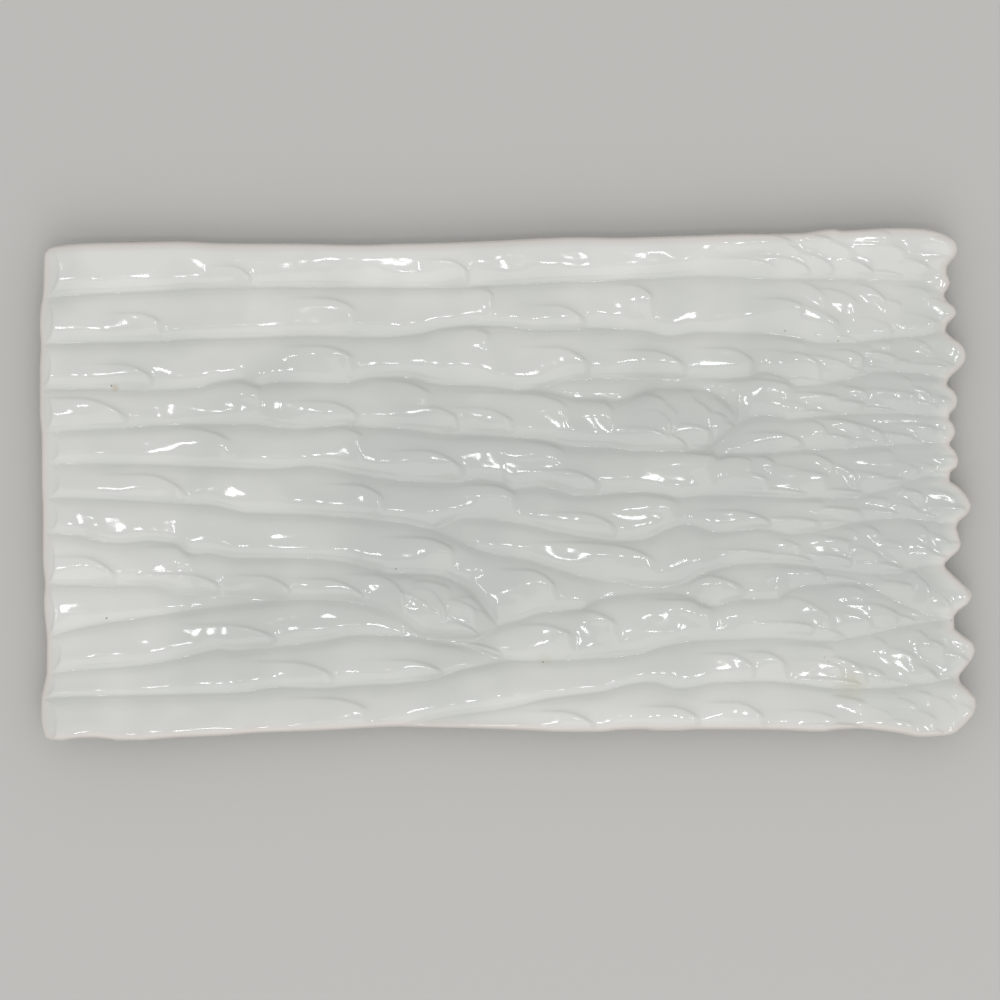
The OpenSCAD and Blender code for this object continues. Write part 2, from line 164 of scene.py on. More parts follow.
# The two ends, as pixels down the photograph and across it
leftEnd = [(225, 45.5), (246, 46.2), (250, 47), (254, 44.8), (258, 44), (285, 43), (297, 42), (308, 40),
    (325, 39), (345, 40), (370, 39), (410, 39), (440, 41), (480, 41), (510, 42), (560, 42), (585, 44),
    (600, 43), (618, 44), (640, 46), (670, 46), (688, 43), (700, 41), (720, 41.4), (726, 42.3),
    (734, 44.8), (737.5, 46), (742, 46.8), (746, 47)]
# The scalloped end: notches, flanks and tips in turn from the back
tipEnd = [(228, 947.5), (232, 948), (235, 949), (238, 950.5), (241, 954.2), (245, 956.6), (250, 957.6),
    (256, 956), (262, 951), (268, 947.3), (272, 947.2), (278, 949.2), (283, 950.5), (289, 948),
    (295, 945.2), (300, 947.4), (307, 955.2), (313, 957.4), (319, 953.6), (325, 948.1), (330, 946.8),
    (337, 953.1), (343, 961), (349, 965.5), (355, 966.9), (361, 965.9), (370, 958.7), (379, 950),
    (384, 948.2), (391, 955.1), (399, 958.6), (406, 957.3), (415, 950.7), (418, 950.3), (424, 954.1),
    (432, 956.3), (439, 953.6), (444, 950.8), (451, 956.1), (460, 959.3), (466, 958.4), (473, 951.5),
    (479, 950.6), (487, 959.7), (496, 967.8), (506, 972), (514, 968.5), (523, 959.1), (527, 957.6),
    (535, 959.6), (544, 961.8), (550, 959.9), (559, 950.7), (565, 946), (574, 953.2), (583, 963),
    (592, 971.9), (596, 972.8), (604, 968.7), (613, 957.9), (618, 955.1), (627, 955.4), (634, 962.2),
    (643, 973.6), (650, 975.8), (658, 973.3), (670, 964.5), (677, 960), (682, 961.1), (691, 969.8),
    (699, 975.8), (705, 976.2), (712, 974.5), (721, 967.7), (727, 962), (730, 960.5), (735, 959.5),
    (740, 959)]


def smoothLine(points, x):
    # Cubic between neighbouring points. The slope at a point is the harmonic mean of the two
    # chords beside it, and zero at a peak, so the line never swings past its points.
    px, py = np.array(points, float).T
    step = np.diff(px)
    chord = np.diff(py) / step
    product = chord[:-1] * chord[1:]
    total = chord[:-1] + chord[1:]
    inner = np.where(product > 0, 2 * product / np.where(product > 0, total, 1), 0)
    slope = np.concatenate([chord[:1], inner, chord[-1:]])
    k = np.clip(np.searchsorted(px, x) - 1, 0, len(px) - 2)
    t = np.clip((x - px[k]) / step[k], 0, 1)
    bump = step[k] * t * (1 - t)
    return (py[k] * (1 + 2 * t) * (1 - t) ** 2 + py[k + 1] * (3 - 2 * t) * t ** 2
            + bump * (slope[k] * (1 - t) - slope[k + 1] * t))


cutLine, tipLine = partial(smoothLine, leftEnd), partial(smoothLine, tipEnd)


def firstCrossing(line, edge, xs):
    # Where a line that starts inside first passes the edge, stepping along xs
    gap = edge(line(xs)) - xs
    k = np.maximum(np.argmax(gap <= 0, axis=0), 1)
    before = np.take_along_axis(gap, k[None] - 1, 0)[0]
    after = np.take_along_axis(gap, k[None], 0)[0]
    return xs[k - 1, 0] + (xs[k, 0] - xs[k - 1, 0]) * before / (before - after)


# The valleys were traced along their darkest shade, which lies a little in front of the lowest
# line. They meet the two ends where they were traced.
shade = {"shift": 1.5, "cutX": 40, "cutReach": 40, "tipX": 948, "tipReach": 50}


def lineThrough(names, x):
    # The traced lines with these names, one after the other
    points = []
    for name in names.split():
        for px, py in lines[name]:
            fromCut = (px - shade["cutX"]) / shade["cutReach"]
            fromTip = (shade["tipX"] - px) / shade["tipReach"]
            inwards = max(min(fromCut, fromTip, 1), 0)
            points.append((px, py if name in ("back", "front") else py - shade["shift"] * inwards))
    return smoothLine(points, x)


backLine, frontLine = partial(lineThrough, "back"), partial(lineThrough, "front")

# One dictionary per spear. back and front name its two lines, start and end are its reach in pixels.
# cut: a stem end shows at the start. tip: it runs out to the scalloped edge.
# bracts: where the upper edge of a leaf scale starts, its point, and its bluntness if it is blunt.
# head: where the dense scales of the head start. rows: how many lie across, if not as in headScales.
# form: where the rounded back differs from the piece, as the stem of spear_16 runs on in spear_17.
spears = {
    "spear_01": {"back": "back", "front": "valley1 hiddenTipBack", "start": 38, "end": 946, "cut": True,
        "tip": True, "head": 735,
        "bracts": [(230, 267, 254, 281), (445, 261, 471, 276), (755, 234, 797, 246), (775, 257, 815, 275)]},
    "spear_02": {"back": "valley1 hiddenTipBack", "front": "valley1 hiddenTipFront", "start": 916,
        "end": 945, "tip": True, "bracts": []},
    "spear_03": {"back": "valley1 hiddenTipFront", "front": "valley2", "start": 38, "end": 945, "cut": True,
        "tip": True, "head": 790,
        "bracts": [(135, 314, 165, 325), (322, 299, 360, 313), (476, 288, 495, 297), (553, 306, 588, 324),
                   (628, 285, 656, 301), (775, 299, 808, 309)]},
    "spear_04": {"back": "valley2", "front": "valley3Stem valley3Tip", "start": 38, "end": 948, "cut": True,
        "tip": True, "head": 775,
        "bracts": [(118, 365, 157, 381), (318, 347, 358, 361), (458, 327, 494, 337), (554, 348, 592, 367),
                   (646, 351, 690, 370), (724, 349, 758, 366), (793, 353, 825, 369), (843, 350, 867, 361)]},
    "spear_05": {"back": "valley3Stem head5Back", "front": "valley4 head5Front", "start": 38, "end": 738.9,
        "cut": True, "head": 630, "lift": [(560, 1.0), (630, 1.22), (720, 1.4), (738, 1.6)],
        "bracts": [(78, 399, 133, 422), (232, 381, 265, 391), (322, 402, 362, 418), (385, 380, 436, 397),
                   (426, 407, 463, 422), (476, 408, 518, 426), (514, 393, 576, 419, 0.55),
                   (580, 397, 617, 418, 0.6), (652, 410, 674, 428), (690, 401, 716, 421)]},
    "spear_06": {"back": "valley3Stem valley3Tip", "front": "valley3Stem head5Back under6", "start": 517,
        "end": 950, "tip": True, "head": 770,
        "bracts": [(742, 379, 801, 393, 0.5)]},
    "spear_07": {"back": "valley4 head5Front under6", "front": "valley4 under7", "start": 709.3, "end": 950,
        "tip": True, "head": 815,
        "bracts": [(772, 433, 807, 446), (803, 419, 830, 433)]},
    "spear_08": {"back": "valley4 under7", "front": "valley7", "start": 38, "end": 950, "cut": True,
        "tip": True, "head": 740,
        "bracts": [(176, 427, 237, 447, 0.75), (333, 427, 366, 438), (422, 451, 468, 474),
                   (508, 438, 569, 457, 0.65), (560, 470, 603, 487), (664, 452, 719, 461, 0.5),
                   (720, 455, 758, 466, 0.55)]},
    "spear_09": {"back": "valley7", "front": "valley8Stem valley8Tip", "start": 38, "end": 954, "cut": True,
        "tip": True, "head": 790,
        "bracts": [(144, 475, 190, 497), (352, 485, 388, 502), (487, 485, 520, 497), (575, 513, 620, 530),
                   (626, 492, 684, 508, 0.65), (733, 511, 776, 526)]},
    "spear_10": {"back": "valley8Stem valley8Tip", "front": "valley8Stem valley9", "start": 431, "end": 951,
        "tip": True, "head": 735,
        "bracts": [(588, 543, 662, 569, 0.65)]},
    "spear_11": {"back": "valley8Stem valley9", "front": "valley10 spear14Back", "start": 40, "end": 950,
        "cut": True, "tip": True, "head": 800, "rows": 1,
        "bracts": [(416, 538, 459, 561, 0.55), (525, 570, 560, 591), (698, 575, 749, 592)]},
    "spear_12": {"back": "valley10", "front": "valley11 head12Front", "start": 40, "end": 497.9,
        "cut": True, "head": 375, "lift": [(330, 1.0), (390, 1.18), (470, 1.35), (497, 1.6)],
        "bracts": [(80, 557, 120, 579), (168, 547, 197, 562, 0.5), (180, 574, 224, 588),
                   (258, 576, 295, 593), (322, 579, 370, 601), (376, 575, 411, 606), (424, 588, 450, 620)]},
    "spear_13": {"back": "valley11", "front": "valley12", "start": 41, "end": 298, "cut": True,
        "bracts": []},
    "spear_14": {"back": "valley12 head12Front spear14Back", "front": "valley13 valley14Tip", "start": 43,
        "end": 950, "cut": True, "head": 780,
        "bracts": [(226, 625, 281, 641), (391, 637, 412, 649), (460, 643, 508, 657), (538, 625, 577, 638),
                   (582, 611, 622, 628), (678, 600, 717, 616, 0.5)]},
    "spear_15": {"back": "valley13 valley14Tip", "front": "valley14 valley14Tip", "start": 42, "end": 529,
        "cut": True,
        "bracts": [(288, 662, 338, 678), (403, 660, 447, 675)]},
    "spear_16": {"back": "valley14 valley14Tip", "front": "valley14 seam15 valley15", "start": 501,
        "end": 957, "tip": True, "head": 800,
        "form": {"front": "stem15 valley15", "start": 38, "cut": True},
        "bracts": [(326, 698, 373, 711), (726, 654, 758, 671), (760, 652, 790, 668)]},
    "spear_17": {"back": "valley14 seam15 valley15", "front": "front", "start": 40, "end": 956, "cut": True,
        "tip": True, "head": 800, "form": {"back": "stem15 valley15", "start": 404, "cut": False},
        "bracts": [(558, 711, 598, 727), (666, 706, 702, 720), (732, 702, 767, 720)]},
}

relief = {
    "cell": 0.5,         # pixels of the photograph in one cell of the height map
    "columns": (28, 988), "rows": (218, 752),  # its reach in pixels
    "pad": 48,           # cells of mirrored border while it is blurred
    "crest": 3.85,       # millimetres above the valley floor, for a spear of full width
    "pitch": plate["width"] / 12,  # full width of a spear
    "pastEnd": 1, "pastTip": 40,   # pixels that a dome runs on past its end or its tip
    "least": 0.01,       # keeps widths and shares from zero
    "widest": 1.12,      # widths past this add no height
    "growth": 0.8,       # how a crest follows the spear's width
    "roundness": 3.2,    # 2 is a round back, more is flatter with steeper flanks
    "flank": 0.62,       # less makes the flanks steeper at their foot
    "soft": 0.3,         # how much lower it gets towards the tips, from where, and over how many pixels
    "softStart": 560, "softReach": 260,
    "cutReach": 7.5, "cutVaries": (0.6, 1.15),  # length of the facet at a cut stem end, and its range
    "cutDepth": 0.95, "cutHollow": 0.6,         # its depth as a share, and how hollow it is
    "tipLength": 9.0, "tipPower": 2.4,          # rounding at the tips
    "tipDrop": 0.3, "tipDropReach": 110,        # how much lower a head gets, over how many pixels
    "bract": 1.9,        # step at the upper edge of a leaf scale
    "bractSkirt": 30,    # pixels below that edge where it is back to nothing
    "bractRoot": 1.0,    # share of its length over which it rises before the edge starts
    "bluntness": 0.95,   # of its point, if the table gives none
    "shoulder": 0.95,    # how far the rounded upper edge of a scale reaches
    "sink": 0.3,         # share of a scale's length over which its point sinks away
    "scaleLift": 1.5,    # pixels that a scale stands behind the shade traced for it
    "margin": 3,         # pixels round a scale that are worked out with it
    "fadeHeight": 1.6,   # scales and waves fade out below this height
    "waves": [(0.3, 4.5, 13), (0.1, 2.0, 4.0), (0.008, 1.0, 1.4)],  # height, reach across and along
    "soften": 0.32,      # how far the glaze rounds every edge
    "fill": 2.0, "filled": 0.6,          # how far it runs into the valleys, and how full
    "poolDepth": 1.2, "poolRound": 1.0,  # where it counts as deep, and how round it gets there
    "seed": 7,
}

# The dense scales of a head, in pixels and shares. A pair is the range that each one is drawn from.
headScales = {
    "start": 800, "rows": 2,            # where they start and how many lie across, if the spear has no own
    "pastTip": 12, "pastEnd": -14,      # where the last one starts
    "length": 30, "longer": 16, "longerReach": 160,  # length of the last ones, and how it grows back
    "lengthVaries": (0.85, 1.2),
    "step": 0.62,                       # from one to the next, as a share of its length
    "across": (-0.12, 0.12), "shift": (-9, 9), "drop": (0.35, 1.0), "skirt": (0.9, 1.3),
    "root": 0.7,
    "height": 1.6, "heightVaries": (0.6, 1.25),
    "bluntness": (0.5, 1.0),
}

columns = np.arange(*relief["columns"], relief["cell"])
rows = np.arange(*relief["rows"], relief["cell"])
gridX, gridY = np.meshgrid(columns, rows)
cellMm = relief["cell"] * pxMm


def blurred(field, acrossMm, alongMm=None):
    # Product of the field's spectrum with a Gaussian, over a mirrored border
    alongMm = acrossMm if alongMm is None else alongMm
    pad = relief["pad"]
    wide = np.pad(field, pad, mode="reflect")
    fy = np.fft.fftfreq(wide.shape[0], cellMm)[:, None]
    fx = np.fft.rfftfreq(wide.shape[1], cellMm)[None, :]
    window = np.exp(-2 * math.pi ** 2 * ((fy * acrossMm) ** 2 + (fx * alongMm) ** 2))
    wide = np.fft.irfft2(np.fft.rfft2(wide) * window, s=wide.shape)
    return wide[pad:-pad, pad:-pad]


def smoothStep(t):
    t = np.clip(t, 0, 1)
    return t * t * (3 - 2 * t)


def raiseScale(scales, inside, startX, startY, pointX, pointY, skirt, height, root, bluntness):
    # A leaf scale stands up along its upper edge, which runs from the start to the point as
    # (1 - u^2)^bluntness. Below the edge it falls back to nothing over the skirt. Along the spear
    # it rises from its root and sinks away just before the point.
    reach = pointX - startX
    margin = relief["margin"]
    r0, r1 = np.searchsorted(rows, [min(startY, pointY) - margin, max(startY, pointY) + skirt + margin])
    c0, c1 = np.searchsorted(columns, [startX - root * reach, pointX + margin])
    x, y = gridX[r0:r1, c0:c1], gridY[r0:r1, c0:c1]
    u = (x - startX) / reach
    arch = (1 - np.clip(u, 0, 1) ** 2) ** bluntness
    upper = pointY - (pointY - startY) * arch - relief["scaleLift"]
    below = (y - upper) * pxMm
    mask = (below > 0) & (u < 1) & inside[r0:r1, c0:c1]
    sink = smoothStep((1 - u) / relief["sink"])
    rise = np.clip((u + root) / (1 + root), 0, 1) * sink
    edge = np.sqrt(np.clip(below / relief["shoulder"], 0, 1))
    fall = smoothStep(1 - below / (skirt * pxMm))
    patch = np.where(mask, height * rise * edge * fall, 0)
    scales[r0:r1, c0:c1] = np.maximum(scales[r0:r1, c0:c1], patch)


def domeOf(spear, scales, random):
    # Arch of a superellipse between the two lines, times the crest height for the width there
    back, front = lineThrough(spear["back"], columns), lineThrough(spear["front"], columns)
    width = np.maximum(front - back, relief["least"])
    v = (gridY - back) / width
    past = relief["pastTip" if spear.get("tip") else "pastEnd"]
    inside = (v >= 0) & (v <= 1)
    inside &= (gridX >= spear["start"] - relief["pastEnd"]) & (gridX <= spear["end"] + past)
    share = np.minimum(relief["widest"], width * pxMm / relief["pitch"])
    lift = np.interp(columns, *np.array(spear.get("lift", [(0, 1), (1, 1)]), float).T)
    ease = 1 - relief["soft"] * smoothStep((columns - relief["softStart"]) / relief["softReach"])
    crest = relief["crest"] * lift * share ** relief["growth"] * ease
    dome = crest * (1 - np.clip(np.abs(2 * v - 1), 0, 1) ** relief["roundness"]) ** relief["flank"]
    if spear.get("cut"):
        reach = relief["cutReach"] * random.uniform(*relief["cutVaries"])
        reach = reach * np.sqrt(np.clip(1 - (2 * v - 1) ** 2, relief["least"], 1))
        fromEnd = (gridX - cutLine(gridY)) * pxMm / reach
        dome = dome * (1 - relief["cutDepth"] * (1 - np.clip(fromEnd, 0, 1)) ** relief["cutHollow"])
    if spear.get("tip"):
        fromTip = (tipLine(gridY) - gridX) * pxMm / relief["tipLength"]
        dome = dome * np.sqrt(1 - (1 - np.clip(fromTip, 0, 1)) ** relief["tipPower"])
        fromHead = (gridX - spear.get("head", headScales["start"])) / relief["tipDropReach"]
        dome = dome * (1 - relief["tipDrop"] * smoothStep(fromHead))
    for startX, startY, pointX, pointY, *blunt in spear["bracts"]:
        raiseScale(scales, inside, startX, startY, pointX, pointY, relief["bractSkirt"],
                   relief["bract"], relief["bractRoot"], blunt[0] if blunt else relief["bluntness"])
    if "head" in spear:
        addHeadScales(spear, scales, inside, back, front, random)
    return dome, inside


def addHeadScales(spear, scales, inside, back, front, random):
    # Staggered rows of scales, each longer than the step to the next and leaning to the
    # spear's middle. They shrink towards the tip, and no two are quite alike.
    def draw(name):
        return random.uniform(*headScales[name])

    x = spear["head"]
    last = spear["end"] + headScales["pastTip" if spear.get("tip") else "pastEnd"]
    count = spear.get("rows", headScales["rows"])
    turn = 0
    while x < last:
        k = int(np.clip((x - columns[0]) / relief["cell"], 0, len(columns) - 1))
        width = front[k] - back[k]
        longer = headScales["longer"] * np.clip((last - x) / headScales["longerReach"], 0, 1)
        length = (headScales["length"] + longer) * draw("lengthVaries")
        for row in range(count + turn % 2):
            share = (row + (0.5 if turn % 2 == 0 else 0)) / count + draw("across")
            upper = back[k] + width * (share - 0.5 / count)
            drop = width / count * draw("drop")
            start = x + draw("shift")
            skirt = width / count * draw("skirt")
            height = headScales["height"] * draw("heightVaries")
            raiseScale(scales, inside, start, upper, start + length, upper + drop, skirt, height,
                       headScales["root"], draw("bluntness"))
        x += length * headScales["step"]
        turn += 1


def makeRelief():
    # Highest dome at each place, with the scales and waves on top, rounded and filled as a glaze
    # does. The second map is 0 on open clay and 1 where the glaze lies deep; the glaze colour darkens there,
    # partly as painted shade in the valleys.
    random = np.random.default_rng(relief["seed"])
    height = np.zeros_like(gridX)
    scales = np.zeros_like(gridX)
    for spear in spears.values():
        dome, inside = domeOf({**spear, **spear.get("form", {})}, scales, random)
        height = np.where(inside, np.maximum(height, dome), height)
    fade = np.clip(height / relief["fadeHeight"], 0, 1)
    height = height + scales * fade
    for amount, across, along in relief["waves"]:
        wave = blurred(random.standard_normal(gridX.shape), across, along)
        height = height + fade * amount * wave / wave.std()
    soft = blurred(height, relief["soften"])
    low = blurred(soft, relief["fill"])
    filled = soft + relief["filled"] * np.maximum(low - soft, 0)
    poolAndShade = np.clip((low - filled) / relief["poolDepth"], 0, 1)
    return filled + poolAndShade * (blurred(filled, relief["poolRound"]) - filled), poolAndShade


heightMap, poolAndShadeMap = makeRelief()
print("relief:", heightMap.shape, "highest", round(float(heightMap.max()), 2), "mm")


def sample(field, x, y):
    # Bilinear between the four nearest cells
    c = np.clip((toPhotoX(x) - columns[0]) / relief["cell"], 0, len(columns) - 1.001)
    r = np.clip((toPhotoY(y) - rows[0]) / relief["cell"], 0, len(rows) - 1.001)
    c0, r0 = c.astype(int), r.astype(int)
    tc, tr = c - c0, r - r0
    near = field[r0, c0] * (1 - tc) + field[r0, c0 + 1] * tc
    far = field[r0 + 1, c0] * (1 - tc) + field[r0 + 1, c0 + 1] * tc
    return near * (1 - tr) + far * tr


def slabTop(x, y):
    # Flat over the foot ring, then two parabolas that rise to the sides and to the ends
    side = np.maximum(np.abs(y) - plate["flatWidth"] / 2, 0) / (plate["width"] - plate["flatWidth"]) * 2
    end = np.maximum(np.abs(x) - plate["flatLength"] / 2, 0) / (plate["length"] - plate["flatLength"]) * 2
    return plate["foot"] + plate["slab"] + plate["sideRise"] * side ** 2 + plate["endRise"] * end ** 2


def edgeNearness(x, y, reach, most=1):
    # 0 inside, most at the outline: the least of the four distances to it, each across its slope.
    # reach is how far in it starts. Both are one for all or one each for back, front, cut and tips.
    step = 0.5
    px, py = toPhotoX(x), toPhotoY(y)
    near = 0
    for line, along, across, sign, start, top in zip(
            (backLine, frontLine, cutLine, tipLine), (px, px, py, py), (py, py, px, px), (1, -1, 1, -1),
            np.broadcast_to(reach, 4), np.broadcast_to(most, 4)):
        slope = (line(along + step) - line(along - step)) / (2 * step)
        distance = sign * (across - line(along)) / np.sqrt(1 + slope ** 2) * pxMm
        near = np.maximum(near, top * np.clip(1 - distance / start, 0, 1))
    return near


def topOf(x, y):
    # Slab, valley floor and relief, rolled over at the outline by a quarter circle
    near = edgeNearness(x, y, plate["rim"])
    roll = plate["edgeDrop"] * (1 - np.sqrt(1 - near ** 2))
    return slabTop(x, y) + plate["valley"] + sample(heightMap, x, y) * (1 - near ** 3) - roll


def unit(vectors):
    return vectors / np.linalg.norm(vectors, axis=-1, keepdims=True)


def normalsOf(surface, x, y, step=0.15):
    # Slope of the surface over one small step each way
    dx = (surface(x + step, y) - surface(x - step, y)) / (2 * step)
    dy = (surface(x, y + step) - surface(x, y - step)) / (2 * step)
    return unit(np.stack([-dx, -dy, np.ones_like(dx)], -1))


def gridFaces(countU, countV, closeU=False, closeV=False):
    # Quads of a grid of points, row by row, that can join up in either direction
    u = np.arange(countU if closeU else countU - 1)
    v = np.arange(countV if closeV else countV - 1)
    uu, vv = np.meshgrid(u, v, indexing="ij")
    nextU, nextV = (uu + 1) % countU, (vv + 1) % countV
    return np.stack([uu * countV + vv, nextU * countV + vv, nextU * countV + nextV, uu * countV + nextV],
                    -1).reshape(-1, 4)


# Colour masks: glaze pool, also painted as shade in the valleys; painted light towards the outline; warm rim
colourMaskNames = ("glazePoolAndShade", "paintedEdgeLight", "glazeRim")


def addObject(name, data):
    added = bpy.data.objects.new(name, data)
    bpy.context.scene.collection.objects.link(added)
    return added


def makePiece(name, points, quads, caps, normals, colourMasks, material, nodeName):
    # points in millimetres; quads as an array, caps as lists; three colour masks a point: glaze pool with
    # painted shade, painted light at the edges, warm rim
    mesh = bpy.data.meshes.new(name)
    mesh.from_pydata((points * mm).tolist(), [], quads.tolist() + caps)
    mesh.update()
    mesh.shade_smooth()
    for attributeName, values in zip(colourMaskNames, colourMasks):
        attribute = mesh.attributes.new(attributeName, "FLOAT", "POINT")
        attribute.data.foreach_set("value", values.astype(np.float32))
    mesh.normals_split_custom_set_from_vertices(normals.tolist())
    mesh.materials.append(material)
    piece = addObject(name, mesh)
    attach(piece, "root")
    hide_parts(nodeName)


def linear(hexColour):
    # sRGB hex to linear, with full opacity
    channels = np.array([int(hexColour[i:i + 2], 16) for i in (1, 3, 5)]) / 255
    values = np.where(channels <= 0.04045, channels / 12.92, ((channels + 0.055) / 1.055) ** 2.4)
    return (*values.tolist(), 1.0)


def addNode(tree, kind, inputs=None, **settings):
    # inputs are numbers, hex colours or outputs of other nodes; settings the node's own properties
    node = tree.nodes.new("ShaderNode" + kind)
    for key, value in settings.items():
        setattr(node, key, value)
    for key, value in (inputs or {}).items():
        if isinstance(value, bpy.types.NodeSocket):
            tree.links.new(value, node.inputs[key])
        else:
            node.inputs[key].default_value = linear(value) if isinstance(value, str) else value
    return node


def newMaterial(name):
    material = bpy.data.materials.new(name)
    material.use_nodes = True
    material.node_tree.nodes.clear()
    return material, material.node_tree


glaze = {
    "middleGlaze": "#cbcec9",     # white clay under the clear glaze, as it shows in the middle of the dish
    "edgeLight": "#e5e5e1",      # painted light: lighter towards the raised sides and the ends, where more light falls than on the middle
    "rim": "#dcd3cc",       # clay shows warm through it where it draws back from the edge
    "pooledAndShaded": "#c4c7c2",    # deepest in the valleys, a little grey-green, and darker there as painted shade
    "edgeLightMm": (80, 60, 150, 8),      # painted light: how far in it starts to lighten: back, front, cut ends, tips
    "edgeLightMost": (1, 0.8, 0.75, 1),   # and how much lighter it gets there
    "rimMm": 4.5,                    # how far in the warm rim reaches
    "roughness": 0.07,
    "ior": 1.5,
    "patchMm": 38,          # slow drift of its thickness: range of the noise, and what it adds
    "patchNoise": (0.35, 0.65), "patchAdds": (-0.22, 0.22), "patchDetail": 2,
    "rippleMm": 6.5,        # orange peel left by the spray
    "rippleStrength": 0.12, "rippleDepthMm": 0.12, "rippleDetail": 1,
    "faceMm": 8,            # the faults show only above this height, so not underneath
    "borderCells": 900,     # cells in a metre of the noise that breaks up their borders, so 1.1 mm
    "borderDetail": 3,
    "core": 0.3,            # share of the radius where a fault is strongest
    "gain": 2,              # makes up for the noise, which is a half on average
    # Small faults of the firing: place in pixels, radius in millimetres, colour and strength
    "faults": [
        (116, 388, 1.9, "#b8a57c", 0.4), (112, 386, 0.5, "#7c6438", 0.8),     # an iron speck that bled
        (850, 685, 9.0, "#c9c49c", 0.22), (545, 660, 4.0, "#c4c19e", 0.2),    # faint straw-coloured stains
        (785, 331, 0.45, "#77725f", 0.8), (838, 341, 0.6, "#a89c5c", 0.7), (107, 618, 0.55, "#6f6b60", 0.8),
        (396, 569, 0.5, "#77725f", 0.7), (543, 662, 0.45, "#6f6b60", 0.8),    # pinholes
        (824, 657, 0.5, "#8a867a", 0.6), (828, 661, 0.4, "#8a867a", 0.5),
    ],
}


def addFaults(tree, place, colour):
    # Each fault fades out round its centre, seen from above, with a border that noise breaks up
    flat = addNode(tree, "VectorMath", {0: place, 1: (1, 1, 0)}, operation="MULTIPLY").outputs[0]
    height = addNode(tree, "SeparateXYZ", {"Vector": place}).outputs["Z"]
    onFace = addNode(tree, "Math", {0: height, 1: glaze["faceMm"] * mm}, operation="GREATER_THAN").outputs[0]
    grain = addNode(tree, "TexNoise", {"Vector": place, "Scale": glaze["borderCells"],
                                       "Detail": glaze["borderDetail"]}).outputs["Fac"]
    grain = addNode(tree, "Math", {0: grain, 1: onFace}, operation="MULTIPLY").outputs[0]
    for px, py, radius, tint, strength in glaze["faults"]:
        centre = (fromPhotoX(px) * mm, fromPhotoY(py) * mm, 0)
        away = addNode(tree, "VectorMath", {0: flat, 1: centre}, operation="DISTANCE").outputs["Value"]
        fade = addNode(tree, "MapRange", {
            "Value": away, "From Min": glaze["core"] * radius * mm, "From Max": radius * mm,
            "To Min": glaze["gain"] * strength, "To Max": 0}).outputs["Result"]
        spot = addNode(tree, "Math", {0: fade, 1: grain}, operation="MULTIPLY", use_clamp=True).outputs[0]
        colour = addNode(tree, "Mix", {0: spot, 6: colour, 7: tint}, data_type="RGBA").outputs[2]
    return colour


def makeGlaze():
    # Clear lead-free glaze sprayed over white earthenware: glassy, a little uneven, pooled in hollows, with
    # painted light towards the edges and painted shade in the valleys
    material, tree = newMaterial("sprayedClearGlazeOnWhiteEarthenware")
    place = addNode(tree, "TexCoord").outputs["Object"]
    poolAndShade, edgeLight, rim = (addNode(tree, "Attribute", attribute_name=name).outputs["Fac"]
                       for name in colourMaskNames)
    drift = addNode(tree, "TexNoise", {"Vector": place, "Scale": 1000 / glaze["patchMm"],
                                       "Detail": glaze["patchDetail"]}).outputs["Fac"]
    low, high = glaze["patchNoise"]
    least, most = glaze["patchAdds"]
    patch = addNode(tree, "MapRange", {"Value": drift, "From Min": low, "From Max": high,
                                       "To Min": least, "To Max": most}).outputs["Result"]
    # Painted light towards the edges, with a slow random drift of the glaze added
    edgeLightAndDrift = addNode(tree, "Math", {0: edgeLight, 1: patch}, operation="ADD", use_clamp=True).outputs[0]
    colour = glaze["middleGlaze"]
    # Painted light towards the edges, then the warm rim, then the pooled glaze, darkened as painted shade in
    # the valleys
    for share, over in ((edgeLightAndDrift, glaze["edgeLight"]), (rim, glaze["rim"]), (poolAndShade, glaze["pooledAndShaded"])):
        colour = addNode(tree, "Mix", {0: share, 6: colour, 7: over}, data_type="RGBA").outputs[2]
    colour = addFaults(tree, place, colour)
    ripple = addNode(tree, "TexNoise", {"Vector": place, "Scale": 1000 / glaze["rippleMm"],
                                        "Detail": glaze["rippleDetail"]}).outputs["Fac"]
    bump = addNode(tree, "Bump", {"Height": ripple, "Strength": glaze["rippleStrength"],
                                  "Distance": glaze["rippleDepthMm"] * mm}).outputs["Normal"]
    shader = addNode(tree, "BsdfPrincipled", {"Base Color": colour, "Roughness": glaze["roughness"],
                                              "IOR": glaze["ior"], "Normal": bump})
    addNode(tree, "OutputMaterial", {"Surface": shader.outputs["BSDF"]})
    return material


whiteGlaze = makeGlaze()

grid = {
    "along": 0.5, "across": 0.42,   # millimetres between points
    "atLeast": 9,                   # points across the narrowest spear
    "evenShare": 0.45,              # how evenly they lie across; the rest crowds to the two lines
    "seat": 0.25,                   # each spear draws in by this much where it sits on the slab
    "seatEase": 2,                  # and by nothing at its ends, over this many millimetres
    "bed": 0.15,                    # height of the seat above the slab
    "cutX": 41, "tipX": 950,        # where the columns start and stop, in pixels
    "cutZone": 70, "tipZone": 150,  # how far in they bend to follow the two ends
    "endMm": 4.5, "endSteps": 10,   # closer together here, where the top rolls over
    "clear": 0.3,                   # least distance of a column from a knot, in pixels
    "tuck": 3, "tuckZone": 12,      # how far the seat stands back under the two ends
    "settle": 6,                    # rounds until the first points lie on the outline
    "tipSearch": (900, 985, 500),   # where the tips' edge is looked for, in pixels and steps
    "slack": 1e-6,
}


